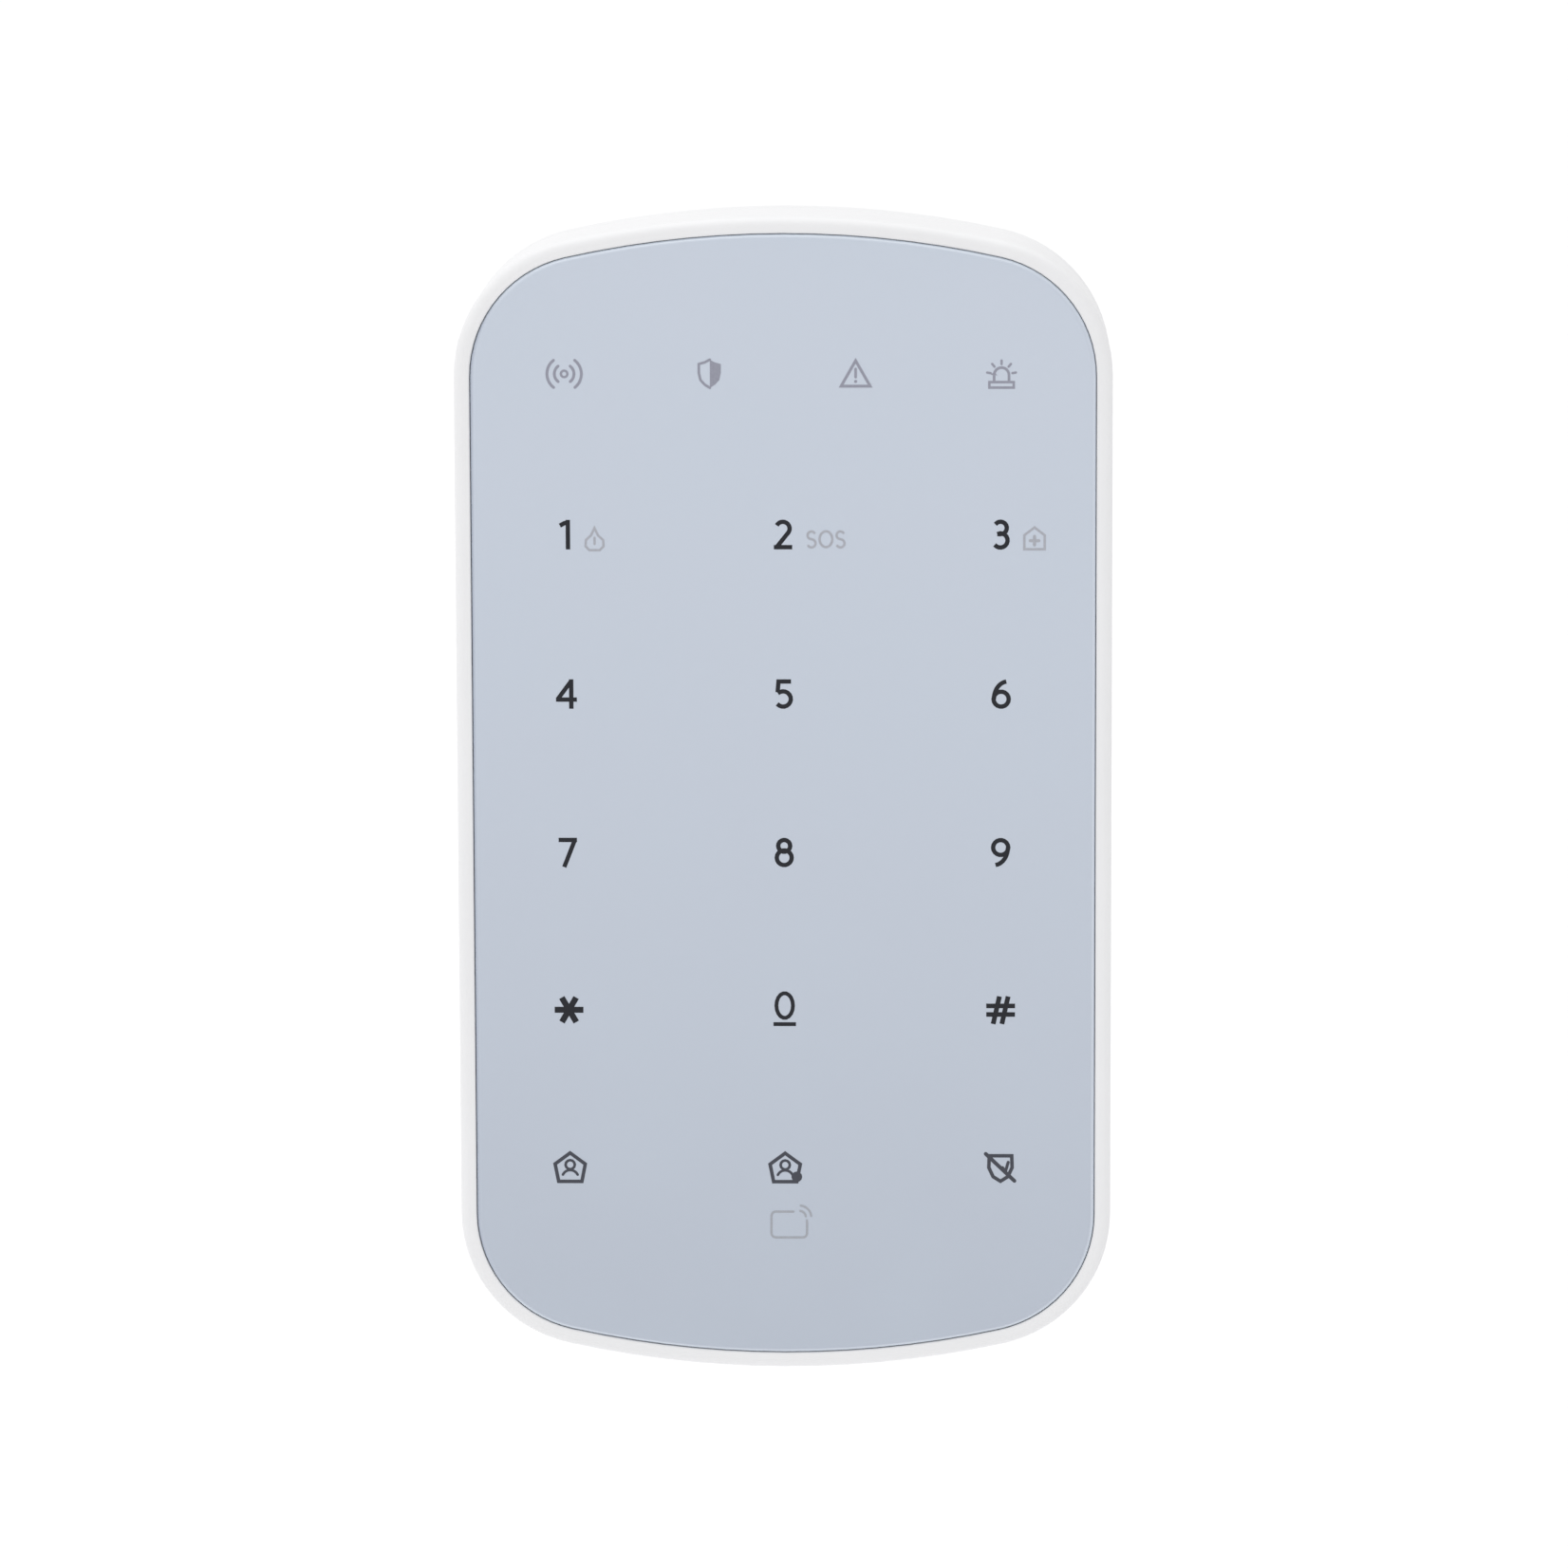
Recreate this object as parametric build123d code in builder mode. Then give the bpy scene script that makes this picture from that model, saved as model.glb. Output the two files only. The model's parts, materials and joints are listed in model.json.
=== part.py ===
"""Wall-mounted wireless alarm keypad with a touch panel, as an assembly of separate pieces.

Millimetres. The origin is on the wall, at the centre of the four wall screws. +X is to the right of
someone facing the keypad, +Z is up and +Y points into the wall, so the touch panel looks along -Y.
Nearly every piece is drawn on planes parallel to the wall. The word depth means the distance from the
wall to such a plane, and an extrusion on it grows towards the person using the keypad.
"""

import os
from math import sqrt

from build123d import *

# Case outline: straight sides, round corners, and top and bottom edges that bow outwards.
CASE_W = 84.0
CASE_H = 149.4
CORNER_R = 17.7
BOW_R = 129.5

# Depths from the wall, from the back of the keypad to its front.
BRACKET_T = 2.4
BACK = 2.8  # outer face of the rear shell
BACK_IN = 4.8  # inner face of the rear shell
PARTING = 9.0  # where the rear shell meets the front housing
BOARD = 14.2  # rear face of the main board
BAY_FLOOR = 19.2  # front end of the space for the cells
TOUCH_BOARD = 20.5
LIGHT_SHIELD = 21.5
LEDGE = 22.0
LENS_SEAT = 23.3
LENS_BACK = 23.5
RIM = 24.9
LENS_FRONT = 25.1

WALL = 2.2  # wall of both shells
LENS_INSET = 2.1  # lens edge inside the case outline
LENS_GAP = 0.05
LENS_EDGE_R = 0.7
RIM_R = 1.2
SEAM = 0.2  # chamfer on each side of the joint between the two shells
LEDGE_INSET = 7.1
FIT = 0.05  # radial clearance of a shank in its own hole

# Bracket and its hooks.
BRACKET_INSET = 4.0
WALL_HOLES = (60.0, 112.0)
WALL_HOLE_R = 2.2
HOOK_X = 17.0
HOOK_ZS = (44.0, -56.0)
HOOK_W = 8.0
HOOK_STEM = 2.4
HOOK_LUG = 4.5
LIFT = 5.5  # how far the keypad slides up to come off the hooks

# Battery bay for four AA cells that stand side by side.
CELL_R = 7.1
CELL_PITCH = 14.8
CELL_BODY = 49.5
CELL_NUB = 1.0
BAY_W = 59.4
BAY_H = 57.0
BAY_Z = -8.5
BAY_WALL = 1.2
PLATE_T = 0.4
DOOR_T = 1.5
DOOR_RIM = 1.3
EAR_R = 4.2
EAR_OUT = 3.8  # from the edge of the bay to the centre of a door ear

# Fasteners.
CASE_SCREWS = [(x, z) for x in (-34.6, 34.6) for z in (-57.6, 57.6)] + [(-35.0, 3.4), (35.0, 3.4)]
BOARD_SCREWS = [(x, z) for x in (-24.5, 24.5) for z in (33.0, 62.5)]
POST_R = 3.0
SHANK_R = 1.15

# Keys and status lights, as columns and rows on the touch panel.
KEY_PITCH = (27.8, 20.55)
KEY_TOP = 34.2
KEYS = [(KEY_PITCH[0] * column, KEY_TOP - KEY_PITCH[1] * row) for row in range(5) for column in (-1, 0, 1)]
STATUS = [(18.55 * (place - 1.5), 54.8) for place in range(4)]

# Main board.
BOARD_W = 56.0
BOARD_Z = (29.5, 66.5)
PCB_T = 1.6
TAMPER_Z = 46.0
TAMPER_TRAVEL = 1.8
SWITCH_AT = (17.0, 60.0)
SWITCH_TRAVEL = 2.4
BUZZER_AT = (-13.0, 58.0)

# Lock screw under the bottom edge of the case.
LOCK_DEPTH = 5.6
LOCK_LIP_Z = (-72.6, -71.2)
NOTCH_Z = -71.0
LOCK_R = 1.5

BAY_TOP = BAY_Z + BAY_H / 2
BAY_BOTTOM = BAY_Z - BAY_H / 2
EARS = [(0, BAY_TOP + EAR_OUT), (0, BAY_BOTTOM - EAR_OUT)]
CELL_XS = [(i - 1.5) * CELL_PITCH for i in range(4)]
CELL_DEPTH = BACK + DOOR_T + 0.3 + CELL_R


def at(depth):
    """Plane parallel to the wall, with X to the right and Z up, facing the user."""
    return Plane.XZ.offset(depth)


def case_outline(depth, inset):
    """The case outline on the plane at that depth, drawn inset inside its outer edge."""
    corner_x = CASE_W / 2 - CORNER_R
    bow_z = CASE_H / 2 - BOW_R
    corner_z = bow_z + sqrt((BOW_R - CORNER_R) ** 2 - corner_x**2)
    run, rise = corner_x / (BOW_R - CORNER_R), (corner_z - bow_z) / (BOW_R - CORNER_R)
    join = (run * (BOW_R - inset), bow_z + rise * (BOW_R - inset))
    radius = CORNER_R - inset
    middle = Vector(run + 1, rise).normalized() * radius
    with BuildSketch(at(depth)) as outline:
        with BuildLine() as edge:
            Line((CASE_W / 2 - inset, 0), (CASE_W / 2 - inset, corner_z))
            ThreePointArc(
                (CASE_W / 2 - inset, corner_z),
                (corner_x + middle.X, corner_z + middle.Y),
                join,
            )
            RadiusArc(join, (0, CASE_H / 2 - inset), -(BOW_R - inset))
            mirror(edge.line, about=Plane.YZ)
            mirror(edge.line, about=Plane.XZ)
        make_face()
    return outline.sketch


def case_slab(depth, thickness, inset, mode=Mode.ADD):
    """A slab with the case outline."""
    extrude(case_outline(depth, inset), amount=thickness, mode=mode)


def discs(depth, thickness, radius, centres, mode=Mode.ADD, taper=0.0):
    """Equal discs parallel to the wall."""
    with BuildSketch(at(depth)) as circles:
        with Locations(*centres):
            Circle(radius)
    extrude(circles.sketch, amount=thickness, taper=taper, mode=mode)


def blocks(depth, thickness, width, height, centres, mode=Mode.ADD, corner=0.0):
    """Equal rectangular blocks parallel to the wall."""
    with BuildSketch(at(depth)) as rectangles:
        with Locations(*centres):
            if corner:
                RectangleRounded(width, height, corner)
            else:
                Rectangle(width, height)
    extrude(rectangles.sketch, amount=thickness, mode=mode)


def cross_recesses(depth, thickness, span, centres, arm=0.6):
    """Cross-shaped driver recesses, cut into screw heads."""
    blocks(depth, thickness, span, arm, centres, mode=Mode.SUBTRACT)
    blocks(depth, thickness, arm, span, centres, mode=Mode.SUBTRACT)


pieces = []


def keep(builder, name):
    """Labels a finished piece and adds it to those that are written out."""
    builder.part.label = name
    pieces.append(builder.part)


# ---------------------------------------------------------------- front of the keypad

with BuildPart() as touch_lens:
    case_slab(LENS_BACK, LENS_FRONT - LENS_BACK, LENS_INSET)
    fillet(touch_lens.faces().sort_by(Axis.Y)[0].edges(), LENS_EDGE_R)
keep(touch_lens, "touch_lens")

with BuildPart() as lens_tape:
    case_slab(LENS_SEAT, LENS_BACK - LENS_SEAT, LENS_INSET + 0.6)
    case_slab(LENS_SEAT, LENS_BACK - LENS_SEAT, LEDGE_INSET - 0.6, Mode.SUBTRACT)
keep(lens_tape, "lens_tape")

POST_BACK = 8.0
TONGUE = 1.5
with BuildPart() as front_housing:
    case_slab(PARTING, RIM - PARTING, 0)
    fillet(front_housing.faces().sort_by(Axis.Y)[0].edges(), RIM_R)
    case_slab(LENS_SEAT, LENS_FRONT - LENS_SEAT, LENS_INSET - LENS_GAP, Mode.SUBTRACT)
    fillet(front_housing.faces().sort_by(Axis.Y)[0].inner_wires()[0].edges(), 0.25)
    case_slab(LEDGE, LENS_SEAT - LEDGE, LEDGE_INSET, Mode.SUBTRACT)
    chamfer(front_housing.faces().sort_by(Axis.Y)[-1].outer_wire().edges(), SEAM)
    case_slab(PARTING, LEDGE - PARTING, WALL, Mode.SUBTRACT)
    case_slab(PARTING, TONGUE + 0.3, WALL / 2, Mode.SUBTRACT)
    # Screw posts, with ribs that tie the two side posts to the wall.
    discs(POST_BACK, LENS_SEAT - POST_BACK, POST_R, CASE_SCREWS)
    rib_xs = [(-39.0, CASE_SCREWS[4][1]), (39.0, CASE_SCREWS[5][1])]
    blocks(PARTING + 2.5, LEDGE - PARTING - 2.5, 3.0, 1.6, rib_xs)
    discs(POST_BACK, 9.0, SHANK_R + FIT, CASE_SCREWS, Mode.SUBTRACT)
    # Stiffening ribs across the ledge, inside the side walls.
    for z in (-36.0, 20.0, 38.0):
        blocks(LEDGE - 8.0, 8.0, 1.4, 1.2, [(-39.4, z), (39.4, z)])
keep(front_housing, "front_housing")

STAKES = [(x, z) for x in (-24.0, 24.0) for z in (-62.5, 62.5)]
with BuildPart() as light_shield:
    case_slab(LIGHT_SHIELD, LENS_SEAT - LIGHT_SHIELD, LEDGE_INSET + 0.3)
    discs(LIGHT_SHIELD, 2.0, POST_R + 0.3, CASE_SCREWS, Mode.SUBTRACT)
    blocks(LIGHT_SHIELD, 2.0, 8.0, 7.0, KEYS, Mode.SUBTRACT, corner=1.5)
    blocks(LIGHT_SHIELD, 2.0, 6.4, 5.6, STATUS, Mode.SUBTRACT, corner=1.5)
    # Stakes that hold the touch board, melted over behind it.
    discs(TOUCH_BOARD, LIGHT_SHIELD - TOUCH_BOARD, 1.0, STAKES)
    discs(TOUCH_BOARD - 0.25, 0.25, 1.5, STAKES)
keep(light_shield, "light_shield")

with BuildPart() as diffuser_sheet:
    case_slab(LENS_SEAT, 0.18, LEDGE_INSET + 0.3)
keep(diffuser_sheet, "diffuser_sheet")

with BuildPart() as touch_board:
    case_slab(TOUCH_BOARD, LIGHT_SHIELD - TOUCH_BOARD, LEDGE_INSET - 1.6)
    discs(TOUCH_BOARD, 1.0, POST_R + 0.8, CASE_SCREWS, Mode.SUBTRACT)
    discs(TOUCH_BOARD, 1.0, 1.0 + FIT, STAKES, Mode.SUBTRACT)
keep(touch_board, "touch_board")

with BuildPart() as key_leds:
    blocks(LIGHT_SHIELD, 0.6, 1.6, 0.8, KEYS)
keep(key_leds, "key_leds")

with BuildPart() as status_leds:
    blocks(LIGHT_SHIELD, 0.6, 1.6, 0.8, STATUS)
keep(status_leds, "status_leds")

# Card reader: flat rectangular turns behind the card symbol, backed by a ferrite sheet.
COIL_Z = -55.4
COIL_T = 0.12
with BuildPart() as reader_coil:
    for turn in range(4):
        side, corner = 1.4 * turn, 3.0 - 0.6 * turn
        turn_size = (41.0 - 2 * side, 19.0 - 2 * side)
        blocks(TOUCH_BOARD - COIL_T, COIL_T, *turn_size, [(0, COIL_Z)], corner=corner)
        inner_size = (turn_size[0] - 1.6, turn_size[1] - 1.6)
        blocks(TOUCH_BOARD - COIL_T, COIL_T, *inner_size, [(0, COIL_Z)], Mode.SUBTRACT, corner - 0.5)
keep(reader_coil, "reader_coil")

with BuildPart() as ferrite_sheet:
    blocks(TOUCH_BOARD - COIL_T - 0.3, 0.3, 43.0, 20.6, [(0, COIL_Z)], corner=1.0)
keep(ferrite_sheet, "ferrite_sheet")

# ---------------------------------------------------------------- main board

with BuildPart() as main_board:
    board_h = BOARD_Z[1] - BOARD_Z[0]
    blocks(BOARD, PCB_T, BOARD_W, board_h, [(0, sum(BOARD_Z) / 2)])
    upright = main_board.edges().filter_by(Axis.Y).group_by(Axis.Z)
    chamfer(upright[-1], 3.0)
    fillet(upright[0], 1.0)
    discs(BOARD, PCB_T, 1.1, BOARD_SCREWS, Mode.SUBTRACT)
keep(main_board, "main_board")

with BuildPart() as board_chips:
    blocks(BOARD + PCB_T, 1.0, 7.0, 7.0, [(-14, 46)])
    blocks(BOARD + PCB_T, 0.9, 5.0, 4.0, [(8, 46)])
    blocks(BOARD + PCB_T, 0.8, 3.0, 1.6, [(16, z) for z in (38, 42, 46, 50)])
    blocks(BOARD + PCB_T, 1.6, 5.0, 3.2, [(-14, 37)])
keep(board_chips, "board_chips")

with BuildPart() as radio_module:
    blocks(BOARD - 0.8, 0.8, 16.0, 12.0, [(-14, 38)])
    blocks(BOARD - 2.6, 1.8, 13.0, 9.6, [(-14, 38)], corner=0.6)
keep(radio_module, "radio_module")

HEADER_Z = 33.0
with BuildPart() as board_header:
    blocks(BOARD + PCB_T, TOUCH_BOARD - BOARD - PCB_T, 13.0, 3.6, [(0, HEADER_Z)])
keep(board_header, "board_header")

ANTENNA_R = 1.6
ANTENNA_LEN = 20.8
ANTENNA_WIRE = 0.3
with BuildPart() as spring_antenna:
    with BuildLine() as antenna_turns:
        start = (-ANTENNA_LEN / 2, -(BOARD + PCB_T + ANTENNA_R + 0.6), 60.0)
        Helix(1.6, ANTENNA_LEN, ANTENNA_R, center=start, direction=(1, 0, 0))
    with BuildSketch(Plane(origin=antenna_turns.line @ 0, z_dir=antenna_turns.line % 0)):
        Circle(ANTENNA_WIRE)
    sweep(path=antenna_turns.line, is_frenet=True)
keep(spring_antenna, "spring_antenna")

with BuildPart() as buzzer:
    discs(BOARD - 5.6, 5.6, 6.0, [BUZZER_AT])
    discs(BOARD - 5.6, 0.8, 1.2, [BUZZER_AT], Mode.SUBTRACT)
    fillet(buzzer.faces().sort_by(Axis.Y)[-1].outer_wire().edges(), 0.5)
keep(buzzer, "buzzer")

# ---------------------------------------------------------------- tamper switch

PLUNGER_R = 2.0
FLANGE = 6.8  # depth of the plunger's flange while the wall holds it in
SWITCH_FACE = 11.8
STEM_R = 0.8
with BuildPart() as tamper_switch:
    blocks(SWITCH_FACE, BOARD - SWITCH_FACE, 7.6, 7.6, [(0, TAMPER_Z)])
    discs(SWITCH_FACE, 2.2, STEM_R + FIT, [(0, TAMPER_Z)], Mode.SUBTRACT)
keep(tamper_switch, "tamper_switch")

with BuildPart() as tamper_plunger:
    discs(0.05, FLANGE - 0.05, PLUNGER_R, [(0, TAMPER_Z)])
    fillet(tamper_plunger.faces().sort_by(Axis.Y)[-1].edges(), 0.6)
    discs(FLANGE, 1.0, 2.9, [(0, TAMPER_Z)])
    discs(FLANGE + 1.0, SWITCH_FACE + 1.9 - FLANGE - 1.0, STEM_R, [(0, TAMPER_Z)])
keep(tamper_plunger, "tamper_plunger")

SPRING_WIRE = 0.2
with BuildPart() as tamper_spring:
    spring_from = FLANGE + 1.0 + SPRING_WIRE + 0.05
    spring_to = SWITCH_FACE - SPRING_WIRE - 0.05
    with BuildLine() as spring_turns:
        spring_height = spring_to - spring_from
        spring_foot = (0, -spring_from, TAMPER_Z)
        Helix(spring_height / 4, spring_height, 1.5, center=spring_foot, direction=(0, -1, 0))
    with BuildSketch(Plane(origin=spring_turns.line @ 0, z_dir=spring_turns.line % 0)):
        Circle(SPRING_WIRE)
    sweep(path=spring_turns.line, is_frenet=True)
keep(tamper_spring, "tamper_spring")

# ---------------------------------------------------------------- power switch

SWITCH_BODY = 9.6
KNOB_AT = (SWITCH_AT[0] + SWITCH_TRAVEL / 2, SWITCH_AT[1])
with BuildPart() as power_switch:
    blocks(SWITCH_BODY, BOARD - SWITCH_BODY, 9.0, 4.6, [SWITCH_AT])
    blocks(SWITCH_BODY, 2.0, 2.2 + SWITCH_TRAVEL, 1.8, [SWITCH_AT], Mode.SUBTRACT)
keep(power_switch, "power_switch")

with BuildPart() as power_knob:
    blocks(BACK + 2.6, SWITCH_BODY - BACK - 0.8, 1.9, 1.5, [KNOB_AT])
    blocks(BACK + 0.5, 2.1, 2.6, 3.0, [KNOB_AT])
    for step in (-0.8, 0.0, 0.8):
        blocks(BACK + 0.3, 0.2, 0.35, 2.4, [(KNOB_AT[0] + step, KNOB_AT[1])])
keep(power_knob, "power_knob")

# ---------------------------------------------------------------- rear shell

TOWER_R = 3.2
SCREW_SEAT = 5.6
DOOR_W = BAY_W + 2 * DOOR_RIM
DOOR_H = BAY_H + 2 * DOOR_RIM
DOOR_GAP = 0.15
slot_h = HOOK_STEM + LIFT + 0.3
with BuildPart() as rear_shell:
    case_slab(BACK, PARTING - BACK, 0)
    fillet(rear_shell.faces().sort_by(Axis.Y)[-1].edges(), 2.6)
    chamfer(rear_shell.faces().sort_by(Axis.Y)[0].edges(), SEAM)
    case_slab(BACK_IN, PARTING - BACK_IN, WALL, Mode.SUBTRACT)
    # Tongue that locates the front housing.
    with BuildSketch(at(PARTING)) as tongue:
        add(case_outline(PARTING, WALL / 2 + 0.15))
        add(case_outline(PARTING, WALL), mode=Mode.SUBTRACT)
    extrude(tongue.sketch, amount=TONGUE)
    # Block behind the bottom edge for the lock screw.
    blocks(BACK, PARTING - BACK, 16.0, 11.0, [(0, NOTCH_Z + 2.7)])
    # Battery bay, its door seat and the bosses for the door screws.
    bay = [(0, BAY_Z)]
    outer_w, outer_h = BAY_W + 2 * BAY_WALL, BAY_H + 2 * BAY_WALL
    blocks(BACK_IN, BAY_FLOOR + 1.0 - BACK_IN, outer_w, outer_h, bay)
    blocks(BACK, BAY_FLOOR - BACK, BAY_W, BAY_H, bay, Mode.SUBTRACT)
    blocks(BACK, DOOR_T, DOOR_W + 2 * DOOR_GAP, DOOR_H + 2 * DOOR_GAP, bay, Mode.SUBTRACT, corner=1.6)
    discs(BACK_IN, 6.0, TOWER_R, EARS)
    blocks(BACK_IN, 6.0, 4.0, 3.0, [(x, z * 0.94 + BAY_Z * 0.06) for x, z in EARS])
    discs(BACK, DOOR_T, EAR_R + DOOR_GAP, EARS, Mode.SUBTRACT)
    discs(BACK, 7.5, SHANK_R + FIT, EARS, Mode.SUBTRACT)
    # Low ridges between the cells.
    ridge_xs = [(x, BAY_Z) for x in (-CELL_PITCH, 0, CELL_PITCH)]
    blocks(BAY_FLOOR - 2.4, 2.4, 1.0, BAY_H, ridge_xs)
    # Towers for the case screws and posts for the main board.
    discs(BACK_IN, POST_BACK - BACK_IN, TOWER_R, CASE_SCREWS)
    discs(BACK, SCREW_SEAT - BACK, 2.8, CASE_SCREWS, Mode.SUBTRACT)
    discs(BACK, PARTING - BACK, SHANK_R + 0.25, CASE_SCREWS, Mode.SUBTRACT)
    discs(BACK_IN, BOARD - BACK_IN, 2.4, BOARD_SCREWS)
    discs(BOARD - 6.0, 6.0, 0.8 + FIT, BOARD_SCREWS, Mode.SUBTRACT)
    # Slots that drop over the bracket's hooks.
    slots = [
        (x, z + HOOK_STEM / 2 + 0.15 - slot_h / 2) for x in (-HOOK_X, HOOK_X) for z in HOOK_ZS
    ]
    blocks(BACK, BACK_IN - BACK, HOOK_W + 0.4, slot_h, slots, Mode.SUBTRACT)
    # Openings for the tamper plunger, the power knob and the buzzer.
    discs(BACK, BACK_IN - BACK, PLUNGER_R + 0.1, [(0, TAMPER_Z)], Mode.SUBTRACT)
    blocks(BACK, BACK_IN - BACK, 3.2 + SWITCH_TRAVEL, 3.6, [SWITCH_AT], Mode.SUBTRACT)
    with BuildSketch(at(BACK)) as sound_holes:
        with Locations(BUZZER_AT):
            Circle(0.7)
            with PolarLocations(2.6, 6):
                Circle(0.7)
    extrude(sound_holes.sketch, amount=BACK_IN - BACK, mode=Mode.SUBTRACT)
    # Notch for the bracket's lip, and the hole that the lock screw enters.
    blocks(BACK, PARTING - BACK, 13.0, 6.0, [(0, NOTCH_Z - 3.0)], Mode.SUBTRACT)
    with BuildSketch(Plane.XY.offset(NOTCH_Z)) as lock_hole:
        with Locations((0, -LOCK_DEPTH)):
            Circle(LOCK_R + FIT)
    extrude(lock_hole.sketch, amount=6.8, mode=Mode.SUBTRACT)
keep(rear_shell, "rear_shell")

# ---------------------------------------------------------------- fasteners inside

with BuildPart() as case_screws:
    discs(SCREW_SEAT - 2.0, 2.0, 2.4, CASE_SCREWS)
    discs(SCREW_SEAT, 10.0, SHANK_R, CASE_SCREWS)
    cross_recesses(SCREW_SEAT - 2.0, 1.2, 2.8, CASE_SCREWS)
keep(case_screws, "case_screws")

with BuildPart() as board_screws:
    discs(BOARD - 5.0, 5.0 + PCB_T, 0.8, BOARD_SCREWS)
    discs(BOARD + PCB_T, 1.3, 1.9, BOARD_SCREWS)
    cross_recesses(BOARD + PCB_T + 0.6, 0.8, 2.2, BOARD_SCREWS, arm=0.5)
keep(board_screws, "board_screws")

# ---------------------------------------------------------------- cells and contacts

for number, x in enumerate(CELL_XS, 1):
    nub_up = number % 2 == 1
    foot = BAY_TOP - PLATE_T if nub_up else BAY_BOTTOM + PLATE_T
    inwards = -1 if nub_up else 1
    with BuildPart() as cell:
        with BuildSketch(Plane.XY.offset(foot + inwards * CELL_NUB)):
            with Locations((x, -CELL_DEPTH)):
                Circle(CELL_R)
        extrude(amount=inwards * CELL_BODY)
        fillet(cell.edges().filter_by(GeomType.CIRCLE), 0.6)
        with BuildSketch(Plane.XY.offset(foot)):
            with Locations((x, -CELL_DEPTH)):
                Circle(2.7)
        extrude(amount=inwards * CELL_NUB)
    keep(cell, f"cell_{number}")

PLATE_W, PLATE_D = 11.0, 10.0
with BuildPart() as battery_contacts:
    plate_depth = CELL_DEPTH - PLATE_D / 2
    top_z, low_z = BAY_TOP - PLATE_T / 2, BAY_BOTTOM + PLATE_T / 2
    pair_w = CELL_PITCH + PLATE_W
    blocks(plate_depth, PLATE_D, PLATE_W, PLATE_T, [(CELL_XS[0], top_z), (CELL_XS[3], top_z)])
    blocks(plate_depth, PLATE_D, pair_w, PLATE_T, [(0, top_z)])
    blocks(plate_depth, PLATE_D, pair_w, PLATE_T, [(-CELL_PITCH, low_z), (CELL_PITCH, low_z)])
keep(battery_contacts, "battery_contacts")

COIL_WIRE = 0.35
with BuildPart() as battery_springs:
    for number, x in enumerate(CELL_XS, 1):
        up = 1 if number % 2 == 1 else -1
        plate_z = BAY_BOTTOM + PLATE_T if up == 1 else BAY_TOP - PLATE_T
        free = BAY_H - 2 * PLATE_T - CELL_BODY - CELL_NUB - 2 * (COIL_WIRE + 0.05)
        coil_foot = (x, -CELL_DEPTH, plate_z + up * (COIL_WIRE + 0.05))
        with BuildLine() as coil:
            Helix(free / 3, free, 2.9, center=coil_foot, direction=(0, 0, up))
        with BuildSketch(Plane(origin=coil.line @ 0, z_dir=coil.line % 0)):
            Circle(COIL_WIRE)
        sweep(path=coil.line, is_frenet=True)
keep(battery_springs, "battery_springs")

# ---------------------------------------------------------------- battery door

with BuildPart() as battery_door:
    blocks(BACK, DOOR_T, DOOR_W, DOOR_H, bay, corner=1.5)
    discs(BACK, DOOR_T, EAR_R, EARS)
    discs(BACK, DOOR_T, SHANK_R + 0.25, EARS, Mode.SUBTRACT)
    discs(BACK, 1.2, 2.55, EARS, Mode.SUBTRACT, taper=45)
    # Finger grooves near the lower edge.
    grooves = [(0, BAY_BOTTOM + 6.0 + 2.0 * i) for i in range(5)]
    blocks(BACK, 0.5, 22.0, 0.9, grooves, Mode.SUBTRACT)
keep(battery_door, "battery_door")

with BuildPart() as door_screws:
    discs(BACK + 0.1, 1.1, 2.35, EARS, taper=45)
    discs(BACK + 0.1, 7.0, SHANK_R, EARS)
    cross_recesses(BACK + 0.1, 0.7, 2.4, EARS, arm=0.5)
keep(door_screws, "door_screws")

# ---------------------------------------------------------------- wall bracket

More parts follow.
